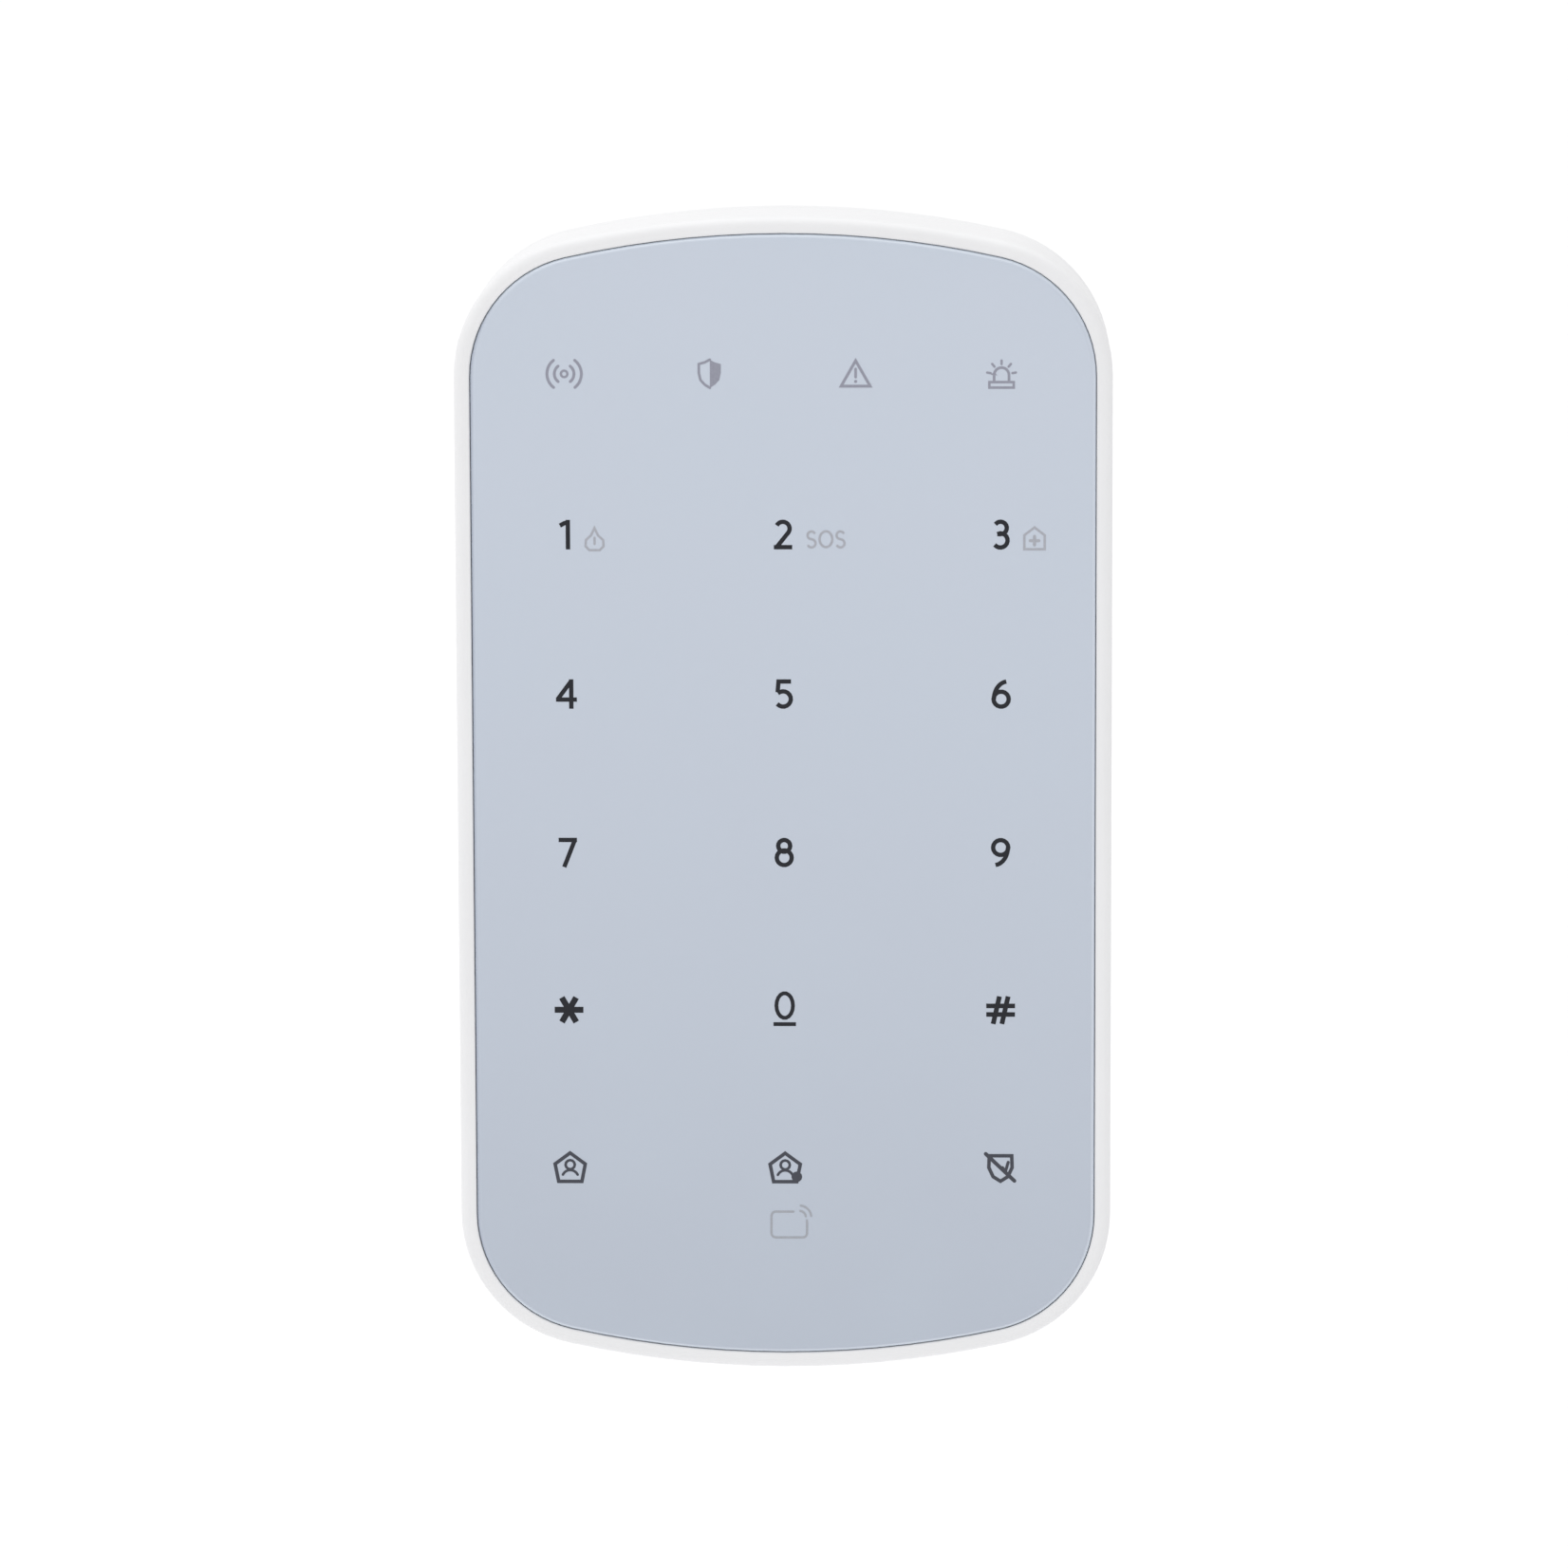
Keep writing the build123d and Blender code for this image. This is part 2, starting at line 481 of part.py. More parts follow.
WINDOW_W = DOOR_W + 2.6
WINDOW_Z = (EARS[1][1] - EAR_R - 1.5, EARS[0][1] + EAR_R + LIFT + 1.5)
LIP_W = 11.0
with BuildPart() as wall_bracket:
    case_slab(0, BRACKET_T, BRACKET_INSET)
    chamfer(wall_bracket.faces().sort_by(Axis.Y)[0].edges(), 0.4)
    window_at = [(0, sum(WINDOW_Z) / 2)]
    blocks(0, BRACKET_T, WINDOW_W, WINDOW_Z[1] - WINDOW_Z[0], window_at, Mode.SUBTRACT, corner=3.0)
    # Countersunk holes for the wall screws.
    with BuildSketch(at(0)) as wall_holes:
        with GridLocations(*WALL_HOLES, 2, 2):
            Circle(WALL_HOLE_R)
    extrude(wall_holes.sketch, amount=BRACKET_T, mode=Mode.SUBTRACT)
    corners = [(x * WALL_HOLES[0] / 2, z * WALL_HOLES[1] / 2) for x in (-1, 1) for z in (-1, 1)]
    discs(BRACKET_T, -1.6, WALL_HOLE_R + 1.6, corners, Mode.SUBTRACT, taper=45)
    # Slot for the tamper plunger, long enough for the lift.
    slot_z = TAMPER_Z + LIFT / 2
    blocks(0, BRACKET_T, 6.0, LIFT + 6.0, [(0, slot_z)], Mode.SUBTRACT, corner=2.9)
    # Hooks: a stem that carries the shell and a lug that stands up behind its back wall.
    stems = [(x, z) for x in (-HOOK_X, HOOK_X) for z in HOOK_ZS]
    lugs = [(x, z + HOOK_LUG / 2) for x, z in stems]
    blocks(BRACKET_T - 0.4, BACK_IN + 2.1 - BRACKET_T + 0.4, HOOK_W, HOOK_STEM, stems)
    blocks(BACK_IN + 0.3, 1.8, HOOK_W, HOOK_STEM + HOOK_LUG, lugs)
    # Lip under the case, with a clearance hole for the lock screw.
    lip_mid = sum(LOCK_LIP_Z) / 2
    blocks(0, BRACKET_T, LIP_W, 6.0, [(0, LOCK_LIP_Z[0] + 3.0)])
    blocks(0, PARTING - 0.4, LIP_W, LOCK_LIP_Z[1] - LOCK_LIP_Z[0], [(0, lip_mid)])
    with BuildSketch(Plane.XY.offset(LOCK_LIP_Z[0])) as lip_hole:
        with Locations((0, -LOCK_DEPTH)):
            Circle(LOCK_R + 0.2)
    extrude(lip_hole.sketch, amount=LOCK_LIP_Z[1] - LOCK_LIP_Z[0], mode=Mode.SUBTRACT)
keep(wall_bracket, "wall_bracket")

LOCK_HEAD = 1.6
with BuildPart() as lock_screw:
    with BuildSketch(Plane.XY.offset(LOCK_LIP_Z[0])):
        with Locations((0, -LOCK_DEPTH)):
            Circle(2.6)
    extrude(amount=-LOCK_HEAD)
    with BuildSketch(Plane.XY.offset(LOCK_LIP_Z[0])):
        with Locations((0, -LOCK_DEPTH)):
            Circle(LOCK_R)
    extrude(amount=7.0)
    with BuildSketch(Plane.XY.offset(LOCK_LIP_Z[0] - LOCK_HEAD)) as lock_recess:
        with Locations((0, -LOCK_DEPTH)):
            Rectangle(3.0, 0.6)
            Rectangle(0.6, 3.0)
    extrude(lock_recess.sketch, amount=1.0, mode=Mode.SUBTRACT)
keep(lock_screw, "lock_screw")

os.makedirs("parts", exist_ok=True)
for piece in pieces:
    export_step(piece, f"parts/{piece.label}.step")
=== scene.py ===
import json
from math import atan2, cos, pi, radians, sin

import bmesh
import bpy
from mathutils import Matrix, Vector


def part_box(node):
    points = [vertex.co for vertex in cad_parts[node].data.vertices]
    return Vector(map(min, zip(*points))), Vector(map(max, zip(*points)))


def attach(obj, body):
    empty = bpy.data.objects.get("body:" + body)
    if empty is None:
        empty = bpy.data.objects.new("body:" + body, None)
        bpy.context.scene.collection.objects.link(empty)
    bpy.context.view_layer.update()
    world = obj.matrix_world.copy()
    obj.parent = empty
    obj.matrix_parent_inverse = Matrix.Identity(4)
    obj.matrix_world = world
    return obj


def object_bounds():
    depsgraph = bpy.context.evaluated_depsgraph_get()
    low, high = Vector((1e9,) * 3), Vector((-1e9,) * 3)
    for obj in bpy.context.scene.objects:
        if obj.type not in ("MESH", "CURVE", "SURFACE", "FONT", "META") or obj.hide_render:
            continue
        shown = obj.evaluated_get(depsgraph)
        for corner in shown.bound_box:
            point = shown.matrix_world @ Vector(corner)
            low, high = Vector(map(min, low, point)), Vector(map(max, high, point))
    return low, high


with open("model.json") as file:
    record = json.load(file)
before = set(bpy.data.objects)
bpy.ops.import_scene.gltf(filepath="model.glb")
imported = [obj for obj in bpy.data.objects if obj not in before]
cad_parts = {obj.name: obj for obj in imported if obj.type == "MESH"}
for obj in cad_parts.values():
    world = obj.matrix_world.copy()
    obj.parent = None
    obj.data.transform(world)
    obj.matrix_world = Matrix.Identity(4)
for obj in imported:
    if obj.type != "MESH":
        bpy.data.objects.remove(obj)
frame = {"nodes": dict(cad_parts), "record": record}  # bodies, nodes, joints, record
cad_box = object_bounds()
MM = 0.001


# ---------------------------------------------------------------- materials


class Look:
    """A node-based material around one Principled shader, with patterns placed in metres."""

    def __init__(self, name, color, roughness, **fixed):
        self.material = bpy.data.materials.new(name)
        self.material.use_nodes = True
        self.tree = self.material.node_tree
        self.shader = self.tree.nodes["Principled BSDF"]
        self.place = self.add("ShaderNodeTexCoord").outputs["Object"]
        self.height = None
        self.color = color
        self.shader.inputs["Base Color"].default_value = (*color, 1)
        self.shader.inputs["Roughness"].default_value = roughness
        for socket, value in fixed.items():
            self.shader.inputs[socket.replace("_", " ")].default_value = value

    def add(self, kind, **settings):
        node = self.tree.nodes.new(kind)
        for key, value in settings.items():
            setattr(node, key, value)
        return node

    def link(self, output, socket):
        self.tree.links.new(output, socket)

    def stretched(self, scale):
        """The object coordinates, scaled per axis."""
        node = self.add("ShaderNodeMapping")
        node.inputs["Scale"].default_value = scale
        self.link(self.place, node.inputs["Vector"])
        return node.outputs["Vector"]

    def noise(self, size, detail=3.0, where=None):
        """Soft noise whose blobs are about size metres wide, from 0 to 1."""
        node = self.add("ShaderNodeTexNoise")
        node.inputs["Scale"].default_value = 1 / size
        node.inputs["Detail"].default_value = detail
        self.link(where or self.place, node.inputs["Vector"])
        return node.outputs["Fac"]

    def math(self, kind, first, second=0.0):
        node = self.add("ShaderNodeMath", operation=kind)
        for value, socket in zip((first, second), node.inputs):
            if isinstance(value, (int, float)):
                socket.default_value = value
            else:
                self.link(value, socket)
        return node.outputs["Value"]

    def span(self, value, low, high, to_low, to_high, smooth=False):
        """value from low..high carried to to_low..to_high, and held at the ends."""
        node = self.add("ShaderNodeMapRange")
        if smooth:
            node.interpolation_type = "SMOOTHSTEP"
        limits = zip(("From Min", "From Max", "To Min", "To Max"), (low, high, to_low, to_high))
        for socket, number in limits:
            node.inputs[socket].default_value = number
        self.link(value, node.inputs["Value"])
        return node.outputs["Result"]

    def axis(self, letter):
        """One object coordinate, in metres."""
        node = self.add("ShaderNodeSeparateXYZ")
        self.link(self.place, node.inputs["Vector"])
        return node.outputs[letter]

    def mix(self, amount, first, second):
        """Blends from first to second, each a colour or a node's output."""
        node = self.add("ShaderNodeMix", data_type="RGBA")
        self.link(amount, node.inputs["Factor"])
        for value, socket in ((first, node.inputs[6]), (second, node.inputs[7])):
            if isinstance(value, tuple):
                socket.default_value = (*value, 1)
            else:
                self.link(value, socket)
        return node.outputs[2]

    def tint(self, amount, color):
        """Mixes another colour, or a node's output, over what the base colour is so far."""
        self.color = self.mix(amount, self.color, color)
        self.link(self.color, self.shader.inputs["Base Color"])
        return self

    def rough(self, amount, low, high):
        """Roughness from low to high, as amount goes from 0 to 1."""
        self.link(self.span(amount, 0.0, 1.0, low, high), self.shader.inputs["Roughness"])
        return self

    def bump(self, height, depth, strength=1.0):
        """Adds relief of that depth in metres on top of any before it."""
        node = self.add("ShaderNodeBump")
        node.inputs["Distance"].default_value = depth
        node.inputs["Strength"].default_value = strength
        self.link(height, node.inputs["Height"])
        if self.height is not None:
            self.link(self.height, node.inputs["Normal"])
        self.height = node.outputs["Normal"]
        self.link(self.height, self.shader.inputs["Normal"])
        return self


def moulded(name, color, roughness=0.42, grain=0.12 * MM, depth=0.006 * MM, shade=0.94):
    """Moulded plastic: a fine spark-eroded grain, and very slight cloudiness."""
    look = Look(name, color, roughness)
    clouds = look.noise(14 * MM, 2.0)
    look.tint(look.span(clouds, 0.35, 0.7, 0.0, 1.0), tuple(c * shade for c in color))
    look.rough(look.noise(2.5 * MM, 4.0), roughness - 0.07, roughness + 0.09)
    look.bump(look.noise(grain, 2.0), depth)
    look.bump(look.noise(6 * MM, 1.0), 0.01 * MM)
    return look


def metal(name, color, roughness, lines=(1, 1, 1), size=0.4 * MM, depth=0.003 * MM):
    """Metal whose surface noise is drawn out along one axis by lines."""
    look = Look(name, color, roughness, Metallic=1.0)
    marks = look.noise(size, 4.0, look.stretched(lines))
    look.tint(look.span(marks, 0.3, 0.75, 0.0, 0.7), tuple(c * 0.72 for c in color))
    look.rough(look.noise(size * 2, 3.0, look.stretched(lines)), roughness - 0.08, roughness + 0.14)
    look.bump(marks, depth)
    return look


def lens_look():
    """Pale blue-grey panel with deep gloss: its colour deepens downwards as a painted reflection, and its
    rounded edge is darkened with painted shade, darkest on the left."""
    look = Look("lens_printed", (0.533, 0.585, 0.675), 0.16, Coat_Weight=1.0, Coat_Roughness=0.03)
    low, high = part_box("touch_lens")
    # Painted reflection: the panel's colour is made darker towards the bottom.
    painted_reflection_fade = look.span(look.axis("Z"), low.z, high.z, 1.0, 0.0)
    look.tint(look.math("POWER", painted_reflection_fade, 1.6), (0.432, 0.478, 0.56))
    clouds = look.span(look.noise(22 * MM, 2.0), 0.4, 0.65, 0.0, 0.12)
    look.tint(clouds, (0.50, 0.575, 0.66))
    # Painted shade on the rounded edge: a darker blue-grey, deepest at the left end and paler towards the
    # right.
    painted_shade_edge = look.span(look.axis("Y"), low.y + 0.005 * MM, low.y + 0.15 * MM, 0.0, 1.0, smooth=True)
    across = look.span(look.axis("X"), low.x, low.x + 6 * MM, 0.0, 1.0, smooth=True)
    look.tint(painted_shade_edge, look.mix(across, (0.42, 0.47, 0.56), (0.60, 0.66, 0.745)))
    look.rough(look.noise(9 * MM, 5.0), 0.13, 0.20)
    look.bump(look.noise(0.5 * MM, 2.0), 0.0006 * MM)
    return look


def ink_look(name, color):
    """Printed ink, a little uneven."""
    look = Look(name, color, 0.3, Specular_IOR_Level=0.12)
    look.tint(look.noise(0.35 * MM, 3.0), tuple(c * 1.2 for c in color))
    look.rough(look.noise(0.6 * MM), 0.25, 0.38)
    look.bump(look.noise(0.15 * MM), 0.001 * MM)
    return look


def board_look(name, color, copper):
    """Circuit board: green mask over fine straight tracks, with bare pads here and there."""
    look = Look(name, color, 0.34, Coat_Weight=0.4, Coat_Roughness=0.2)
    track = look.add("ShaderNodeTexVoronoi", distance="CHEBYCHEV")
    track.inputs["Scale"].default_value = 1 / (5.5 * MM)
    look.link(look.place, track.inputs["Vector"])
    rings = look.math("PINGPONG", track.outputs["Distance"], 0.09)
    lines = look.span(rings, 0.045, 0.06, 0.0, 1.0)
    look.tint(look.math("MULTIPLY", lines, 0.55), tuple(c * 1.9 for c in color))
    pads = look.add("ShaderNodeTexVoronoi")
    pads.inputs["Scale"].default_value = 1 / (3.2 * MM)
    look.link(look.place, pads.inputs["Vector"])
    dots = look.span(pads.outputs["Distance"], 0.12, 0.14, 1.0, 0.0)
    look.tint(dots, copper)
    look.rough(look.noise(1.2 * MM), 0.28, 0.42)
    look.bump(lines, 0.02 * MM)
    look.bump(dots, 0.02 * MM)
    return look


def cell_look(name, node, positive_up):
    """An AA cell: dark film jacket with a copper-coloured band at the positive end, and bare steel ends."""
    look = Look(name, (0.035, 0.037, 0.045), 0.26, Coat_Weight=0.6, Coat_Roughness=0.1)
    low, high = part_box(node)
    nub = 1.0 * MM
    top = high.z - (nub if positive_up else 0)
    bottom = low.z + (0 if positive_up else nub)
    along = look.axis("Z")
    band = 13 * MM
    edge = top - band if positive_up else bottom + band
    ends = (0.0, 1.0) if positive_up else (1.0, 0.0)
    look.tint(look.span(along, edge - 0.1 * MM, edge + 0.1 * MM, *ends), (0.60, 0.24, 0.09))
    ring = look.math("ABSOLUTE", look.math("SUBTRACT", along, edge))
    look.tint(look.span(ring, 0.35 * MM, 0.42 * MM, 1.0, 0.0), (0.75, 0.76, 0.78))
    cap = 0.55 * MM
    upper = look.span(along, top - cap - 0.05 * MM, top - cap, 0.0, 1.0)
    lower = look.span(along, bottom + cap, bottom + cap + 0.05 * MM, 1.0, 0.0)
    bare = look.math("MAXIMUM", upper, lower)
    look.tint(bare, (0.62, 0.61, 0.59))
    look.link(bare, look.shader.inputs["Metallic"])
    look.rough(look.noise(3 * MM, 4.0), 0.22, 0.34)
    look.bump(look.noise(4 * MM, 2.0, look.stretched((1, 1, 0.2))), 0.02 * MM)
    return look


def led_look():
    """A small white light package with a yellow phosphor window."""
    look = Look("led_package", (0.85, 0.83, 0.78), 0.35)
    spots = look.noise(0.7 * MM, 2.0)
    look.tint(look.span(spots, 0.45, 0.55, 0.0, 1.0), (0.86, 0.66, 0.20))
    look.rough(spots, 0.25, 0.45)
    look.bump(spots, 0.01 * MM)
    return look


WHITE = (0.815, 0.815, 0.825)
looks = {
    "case": moulded("case_white", WHITE, 0.42, shade=0.985),
    "bracket": moulded("bracket_white", (0.78, 0.785, 0.79), 0.5, shade=0.985),
    "lens": lens_look(),
    "tape": moulded("adhesive_foam", (0.02, 0.02, 0.022), 0.85, 0.25 * MM, 0.03 * MM),
    "shield_plastic": moulded("shield_black", (0.022, 0.022, 0.024), 0.6),
    "diffuser": moulded("diffuser_film", (0.80, 0.81, 0.82), 0.55, 0.3 * MM),
    "board": board_look("board_green", (0.012, 0.10, 0.04), (0.70, 0.52, 0.26)),
    "led": led_look(),
    "copper": metal("bare_copper", (0.82, 0.42, 0.24), 0.30),
    "ferrite": moulded("ferrite_film", (0.03, 0.027, 0.027), 0.55, 0.2 * MM),
    "chip": moulded("chip_black", (0.02, 0.02, 0.021), 0.55, 0.08 * MM),
    "can": metal("tinned_steel", (0.62, 0.62, 0.61), 0.33, (1, 1, 0.08)),
    "black_plastic": moulded("moulded_black", (0.025, 0.025, 0.027), 0.45),
    "spring_steel": metal("nickel_wire", (0.70, 0.69, 0.66), 0.22, size=0.2 * MM),
    "screw_steel": metal("zinc_plate", (0.60, 0.61, 0.62), 0.30, size=0.25 * MM),
    "contact_steel": metal("nickel_plate", (0.72, 0.71, 0.68), 0.25, (1, 1, 0.1)),
    "knob": moulded("knob_grey", (0.26, 0.28, 0.31), 0.45),
    "plunger": moulded("acetal_white", (0.78, 0.78, 0.74), 0.32),
}
slot_of = {part["node"]: part["material_slot"] for part in frame["record"]["subparts"]}
for name, node in frame["nodes"].items():
    if name.startswith("cell_"):
        look = cell_look(name + "_jacket", name, positive_up=int(name[-1]) % 2 == 1)
    else:
        look = looks[slot_of[name]]
    node.data.materials.clear()
    node.data.materials.append(look.material)


# ---------------------------------------------------------------- legends on the panel

lens_low, lens_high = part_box("touch_lens")
PRINT_FRONT = lens_low.y - 0.015 * MM
PRINT_BACK = lens_low.y + 0.01 * MM


def to_row(point, centre):
    """A legend's own millimetres, carried to the panel around its centre."""
    return centre[0] + point[0] * MM, centre[1] + point[1] * MM


class Print:
    """A thin raised print, gathered from strokes and filled shapes."""

    LAYER = 0.001 * MM  # each shape stands this much above the one before, where they overlap

    def __init__(self):
        self.mesh = bmesh.new()
        self.layers = 0

    def prism(self, rings):
        """Closed solid between the two outlines in rings, or inside the only one."""
        self.layers += 1
        front_y = PRINT_FRONT - self.layers % 9 * self.LAYER
        front = [[self.mesh.verts.new((x, front_y, z)) for x, z in ring] for ring in rings]
        back = [[self.mesh.verts.new((x, PRINT_BACK, z)) for x, z in ring] for ring in rings]
        count = len(rings[0])
        for i in range(count):
            j = (i + 1) % count
            if len(rings) == 2:
                self.mesh.faces.new((front[0][i], front[0][j], front[1][j], front[1][i]))
                self.mesh.faces.new((back[0][j], back[0][i], back[1][i], back[1][j]))
            for f, b in zip(front, back):
                self.mesh.faces.new((f[j], f[i], b[i], b[j]))
        if len(rings) == 1:
            self.mesh.faces.new(front[0])
            self.mesh.faces.new(back[0][::-1])

    def fill(self, points, centre):
        self.prism([[to_row(p, centre) for p in points]])

    def loop(self, points, width, centre):
        """A closed line of that width along the corners."""
        inner, outer = [], []
        for i, here in enumerate(points):
            before, after = Vector(points[i - 1]), Vector(points[(i + 1) % len(points)])
            side = bisector(before, Vector(here), after)
            inner.append(to_row(Vector(here) - side * width / 2, centre))
            outer.append(to_row(Vector(here) + side * width / 2, centre))
        self.prism([inner, outer])

    def stroke(self, points, width, centre, rounded=True):
        """An open line of that width, with round or flat ends."""
        points = [Vector(p) for p in points]
        left, right = [], []
        for i, here in enumerate(points):
            before = points[i - 1] if i else None
            after = points[i + 1] if i + 1 < len(points) else None
            side = bisector(before, here, after) * width / 2
            left.append(here + side)
            right.append(here - side)
        ends = [[], []]
        if rounded:
            for end, (tip, inner) in zip(ends, ((points[-1], points[-2]), (points[0], points[1]))):
                way = (tip - inner).normalized()
                start = atan2(way.y, way.x) + pi / 2
                turns = [start - pi * k / 6 for k in range(1, 6)]
                end += [tip + Vector((cos(t), sin(t))) * width / 2 for t in turns]
        self.fill(left + ends[0] + right[::-1] + ends[1], centre)

    def finish(self, name, look):
        bmesh.ops.recalc_face_normals(self.mesh, faces=self.mesh.faces)
        data = bpy.data.meshes.new(name)
        self.mesh.to_mesh(data)
        self.mesh.free()
        piece = bpy.data.objects.new(name, data)
        bpy.context.scene.collection.objects.link(piece)
        data.materials.append(look.material)
        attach(piece, "keypad")
        return piece


def bisector(before, here, after):
    """Side vector to the left of the path at a corner, lengthened so that the line keeps its width."""
    path = [point for point in (before, here, after) if point is not None]
    ways = [(end - start).normalized() for start, end in zip(path, path[1:])]
    sides = [Vector((-way.y, way.x)) for way in ways]
    if len(sides) == 1:
        return sides[0]
    middle = (sides[0] + sides[1]).normalized()
    return middle / max(middle.dot(sides[0]), 0.4)


def arc(radius, start, end, steps=10, centre=(0, 0), squeeze=1.0):
    """Points along an arc, with angles in degrees."""
    turns = [radians(start + (end - start) * k / steps) for k in range(steps + 1)]
    return [(centre[0] + radius * cos(t) * squeeze, centre[1] + radius * sin(t)) for t in turns]


def mirrored(points):
    """The same points, and then their mirror images back, for an outline that is even left to right."""
    return points + [(-x, y) for x, y in points[::-1]]


keys_low, keys_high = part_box("key_leds")
LED_W, LED_H = 1.6 * MM, 0.8 * MM
columns = [keys_low.x + LED_W / 2, 0.0, keys_high.x - LED_W / 2]
row_pitch = (keys_high.z - keys_low.z - LED_H) / 4
rows = [keys_high.z - LED_H / 2 - i * row_pitch for i in range(5)]
status_low, status_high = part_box("status_leds")
status_z = (status_low.z + status_high.z) / 2
status_span = status_high.x - status_low.x - LED_W
status_xs = [status_low.x + LED_W / 2 + status_span * i / 3 for i in range(4)]

# Numerals 3.8 mm tall, as the centre lines of their strokes: the open ones, then the closed ones.
TOP, FOOT = 1.62, -1.62
SIX_TAIL = arc(2.25, 180, 97, 10, (0.9, -0.62), squeeze=0.8)
NUMERALS = [
    ([[(0.3, 1.9), (0.3, -1.9)], [(0.42, 1.6), (-0.15, 1.47), (-0.72, 1.16)]], []),
    ([arc(0.87, 152, -35, 12, (-0.05, 0.77)) + [(-0.85, FOOT)], [(-1.2, FOOT), (1.14, FOOT)]], []),
    (
        [
            arc(0.8, 145, -90, 12, (-0.08, 0.84)) + [(-0.5, 0.04)],
            [(-0.5, 0.04)] + arc(0.92, 90, -142, 12, (-0.1, -0.76)),
        ],
        [],
    ),
    ([[(0.58, 1.9), (0.58, -1.9)], [(0.52, 1.6), (-1.12, -0.62)], [(-1.38, -0.72), (1.3, -0.72)]], []),
    (
        [
            [(-0.82, TOP), (0.94, TOP)],
            [(-0.64, 1.88), (-0.78, 0.22)],
            arc(0.99, 132, -140, 14, (-0.08, -0.64)),
        ],
        [],
    ),
    ([SIX_TAIL], [arc(0.97, 0, 340, 17, (0.02, -0.66))]),
    ([[(-1.18, TOP), (1.18, TOP)], [(0.9, 1.6), (-0.48, -1.9)]], []),
    ([], [arc(0.77, 0, 340, 17, (0.0, 0.86)), arc(0.96, 0, 340, 17, (0.0, -0.68))]),
    ([[(-x, -y) for x, y in SIX_TAIL]], [arc(0.97, 0, 340, 17, (-0.02, 0.66))]),
]
NUMERAL_INK = 0.56
digits = Print()
for index, (lines, rings) in enumerate(NUMERALS):
    centre = (columns[index % 3], rows[index // 3])
    for line in lines:
        digits.stroke(line, NUMERAL_INK, centre, rounded=False)
    for ring in rings:
        digits.loop(ring, NUMERAL_INK, centre)
digits.loop(arc(1.62, 0, 340, 17, (0.0, 0.58), squeeze=0.66), 0.5, (columns[1], rows[3]))
digits.stroke([(-1.45, -1.85), (1.45, -1.85)], 0.5, (columns[1], rows[3]), rounded=False)
for turn in range(3):
    tip = (1.85 * cos(turn * pi / 3), 1.85 * sin(turn * pi / 3))
    digits.stroke([(-tip[0], -tip[1]), tip], 0.78, (columns[0], rows[3]), rounded=False)
for offset in (-0.56, 0.56):
    digits.stroke(
        [(offset - 0.4, -1.8), (offset + 0.4, 1.8)], 0.62, (columns[2], rows[3]), rounded=False
    )
    digits.stroke([(-1.85, offset), (1.85, offset)], 0.6, (columns[2], rows[3]), rounded=False)
digits.finish("legend_digits", ink_look("ink_dark", (0.021, 0.022, 0.027)))

status = Print()
waves = (status_xs[0], status_z)
status.loop(arc(0.42, 0, 330, 11), 0.3, waves)
for side in (0, 180):
    for radius in (1.25, 2.2):
        status.stroke(arc(radius, side - 52, side + 52), 0.36, waves)
shield = (status_xs[1], status_z)
half = [(0.0, 1.8), (0.65, 1.45), (1.4, 1.25), (1.4, 0.1), (1.2, -0.8), (0.65, -1.4), (0.0, -1.8)]
status.fill(half, shield)
status.stroke([(-x, y) for x, y in half], 0.32, shield)
alert = (status_xs[2], status_z)
status.loop([(-1.85, -1.6), (1.85, -1.6), (0.0, 1.65)], 0.36, alert)
status.stroke([(0.0, 0.6), (0.0, -0.45)], 0.34, alert)
status.fill(arc(0.2, 0, 330, 11, (0, -1.0)), alert)
siren = (status_xs[3], status_z)
status.loop([(-1.55, -1.8), (1.55, -1.8), (1.55, -1.1), (-1.55, -1.1)], 0.32, siren)
dome = [(-0.95, -1.0), (-0.95, -0.2)] + arc(0.95, 180, 0, 12, (0, -0.2)) + [(0.95, -1.0)]
status.stroke(dome, 0.34, siren)
for angle in range(10, 180, 40):
    ray = [(r * cos(radians(angle)), r * sin(radians(angle)) - 0.2) for r in (1.4, 1.85)]
    status.stroke(ray, 0.3, siren)
status.finish("legend_status", ink_look("ink_grey", (0.27, 0.275, 0.33)))

HOUSE = mirrored([(0.0, 1.75), (1.95, 0.3), (1.5, -2.0)])[:-1]
FUNCTION_INK = 0.46
functions = Print()
for column in (0, 1):
    home = (columns[column], rows[4])
    functions.loop(HOUSE, FUNCTION_INK, home)
    functions.loop(arc(0.6, 0, 330, 11, (0, 0.2)), 0.34, home)
    functions.stroke(arc(1.05, 155, 25, 8, (0, -1.55)), 0.34, home)
functions.fill(arc(0.7, 0, 330, 11, (1.5, -1.35)), (columns[1], rows[4]))
disarm = (columns[2], rows[4])
CREST = mirrored([(0.0, -1.9), (0.95, -1.3), (1.5, -0.1), (1.45, 1.45)])[:-1]
functions.loop(CREST, FUNCTION_INK, disarm)
functions.stroke([(-1.9, 1.7), (1.8, -1.85)], 0.5, disarm)
functions.stroke([(0.25, -0.1), (0.65, -0.6), (1.0, 0.6)], 0.4, disarm)
functions.finish("legend_functions", ink_look("ink_function", (0.062, 0.065, 0.08)))

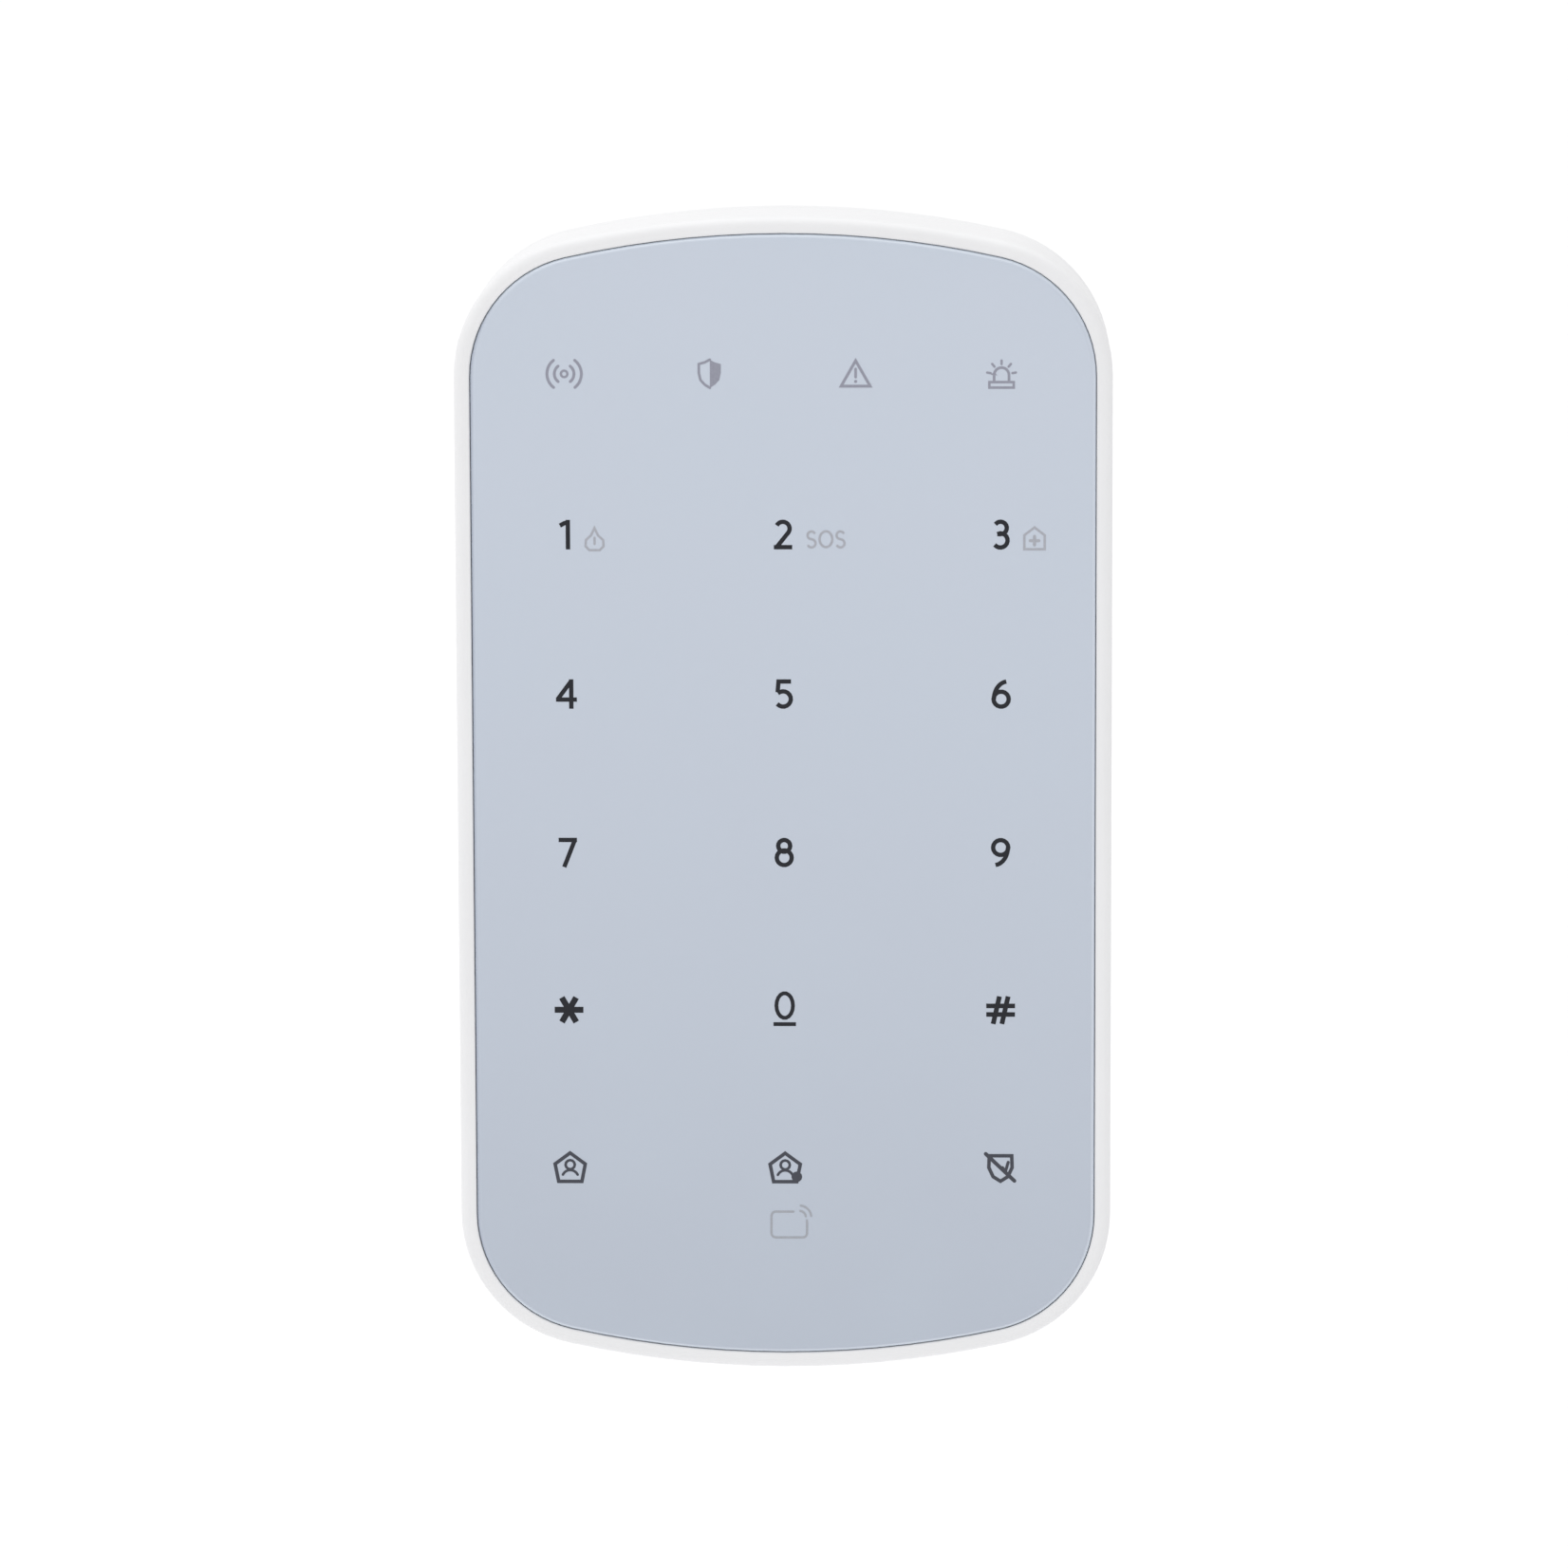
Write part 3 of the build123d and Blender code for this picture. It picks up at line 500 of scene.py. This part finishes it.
hints = Print()
HINT_INK = 0.3
HINT_DROP = 0.6 * MM
fire = (columns[0] + 3.7 * MM, rows[0] - HINT_DROP)
flame = [(0.0, 1.45), (0.45, 0.5), (1.1, -0.1), (1.15, -0.9), (0.65, -1.4)]
hints.loop(mirrored(flame)[:-1], HINT_INK, fire)
hints.stroke([(0.0, 0.2), (0.0, -0.6)], HINT_INK, fire)
sos_x = columns[1] + 5.45 * MM
letter_s = arc(0.5, 25, 270, 9, (0.0, 0.5)) + arc(0.53, 90, -155, 9, (0.0, -0.53))
for place in (-1.85, 1.85):
    hints.stroke(letter_s, HINT_INK, (sos_x + place * MM, rows[0] - HINT_DROP), rounded=False)
hints.loop(arc(1.02, 0, 340, 17, squeeze=0.8), HINT_INK, (sos_x, rows[0] - HINT_DROP))
medic = (columns[2] + 4.25 * MM, rows[0] - HINT_DROP)
hints.loop([(-1.3, -1.3), (1.3, -1.3), (1.3, 0.5), (0.0, 1.5), (-1.3, 0.5)], HINT_INK, medic)
hints.stroke([(0.0, 0.35), (0.0, -0.75)], 0.4, medic)
hints.stroke([(-0.55, -0.2), (0.55, -0.2)], 0.4, medic)
hints.finish("legend_hints", ink_look("ink_pale", (0.36, 0.37, 0.41)))

reader = Print()
coil_low, coil_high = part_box("reader_coil")
card = (0.5 * MM, (coil_low.z + coil_high.z) / 2)
CARD_R = 0.55
left, right, upper, lower = -2.3, 2.3, 1.45, -1.95
outline = [(0.55, upper)]
outline += arc(CARD_R, 90, 180, 4, (left + CARD_R, upper - CARD_R))
outline += arc(CARD_R, 180, 270, 4, (left + CARD_R, lower + CARD_R))
outline += arc(CARD_R, 270, 360, 4, (right - CARD_R, lower + CARD_R))
outline += [(right, 0.3)]
reader.stroke(outline, 0.3, card)
for radius in (0.8, 1.5):
    reader.stroke(arc(radius, 5, 85, 6, (1.35, 0.75)), 0.28, card)
reader.finish("legend_reader", ink_look("ink_reader", (0.33, 0.345, 0.38)))


# ---------------------------------------------------------------- stage, light and camera

FLOOR_DROP = 0.45
FLOOR_SIZE = 40.0
floor_mesh = bpy.data.meshes.new("floor")
floor_z = cad_box[0].z - FLOOR_DROP
corners = [(FLOOR_SIZE / 2 * x, FLOOR_SIZE / 2 * y, floor_z) for x, y in ((-1, -1), (1, -1), (1, 1), (-1, 1))]
floor_mesh.from_pydata(corners, [], [(0, 1, 2, 3)])
floor = bpy.data.objects.new("floor", floor_mesh)
bpy.context.scene.collection.objects.link(floor)
floor_look = Look("floor_pale", (0.90, 0.90, 0.90), 0.9)
floor_look.tint(floor_look.noise(0.8, 2.0), (0.88, 0.88, 0.885))
floor_mesh.materials.append(floor_look.material)

# Studio light all round, weaker from the right-hand side.
LEFT_LIGHT, RIGHT_LIGHT = 1.10, 0.70
world = bpy.data.worlds.new("studio")
bpy.context.scene.world = world
world.use_nodes = True
background = world.node_tree.nodes["Background"]
direction = world.node_tree.nodes.new("ShaderNodeTexCoord")
across = world.node_tree.nodes.new("ShaderNodeSeparateXYZ")
level = world.node_tree.nodes.new("ShaderNodeMapRange")
for socket, number in zip(("From Min", "From Max", "To Min", "To Max"), (-1.0, 1.0, LEFT_LIGHT, RIGHT_LIGHT)):
    level.inputs[socket].default_value = number
world.node_tree.links.new(direction.outputs["Generated"], across.inputs["Vector"])
world.node_tree.links.new(across.outputs["X"], level.inputs["Value"])
world.node_tree.links.new(level.outputs["Result"], background.inputs["Strength"])
background.inputs["Color"].default_value = (1, 1, 1, 1)

overhead = bpy.data.objects.new("overhead", bpy.data.lights.new("overhead", "SUN"))
overhead.data.energy = 0.85
overhead.data.angle = radians(70)
overhead.location = (0.0, 0.0, 1.5)
bpy.context.scene.collection.objects.link(overhead)

CAMERA_DISTANCE = 1.0
FOCAL_MM, SENSOR_MM = 179.0, 36.0
AIM_RAISE = 2.0 * MM
AZIMUTH, ELEVATION, ROLL = radians(1.3), radians(8.85), radians(-0.18)
target = Vector((0.0, lens_low.y, 0.0))
back = Vector((sin(AZIMUTH) * cos(ELEVATION), -cos(AZIMUTH) * cos(ELEVATION), sin(ELEVATION)))
camera_data = bpy.data.cameras.new("camera")
camera_data.sensor_width = SENSOR_MM
camera_data.lens = FOCAL_MM
camera_data.clip_start, camera_data.clip_end = 0.05, 60.0
camera = bpy.data.objects.new("camera", camera_data)
camera.location = target + back * CAMERA_DISTANCE
aim = target + Vector((0.0, 0.0, AIM_RAISE)) - camera.location
camera.rotation_mode = "QUATERNION"
facing = aim.to_track_quat("-Z", "Y").to_matrix() @ Matrix.Rotation(ROLL, 3, "Z")
camera.rotation_quaternion = facing.to_quaternion()
bpy.context.scene.collection.objects.link(camera)
bpy.context.scene.camera = camera
bpy.context.scene.view_settings.view_transform = "Standard"
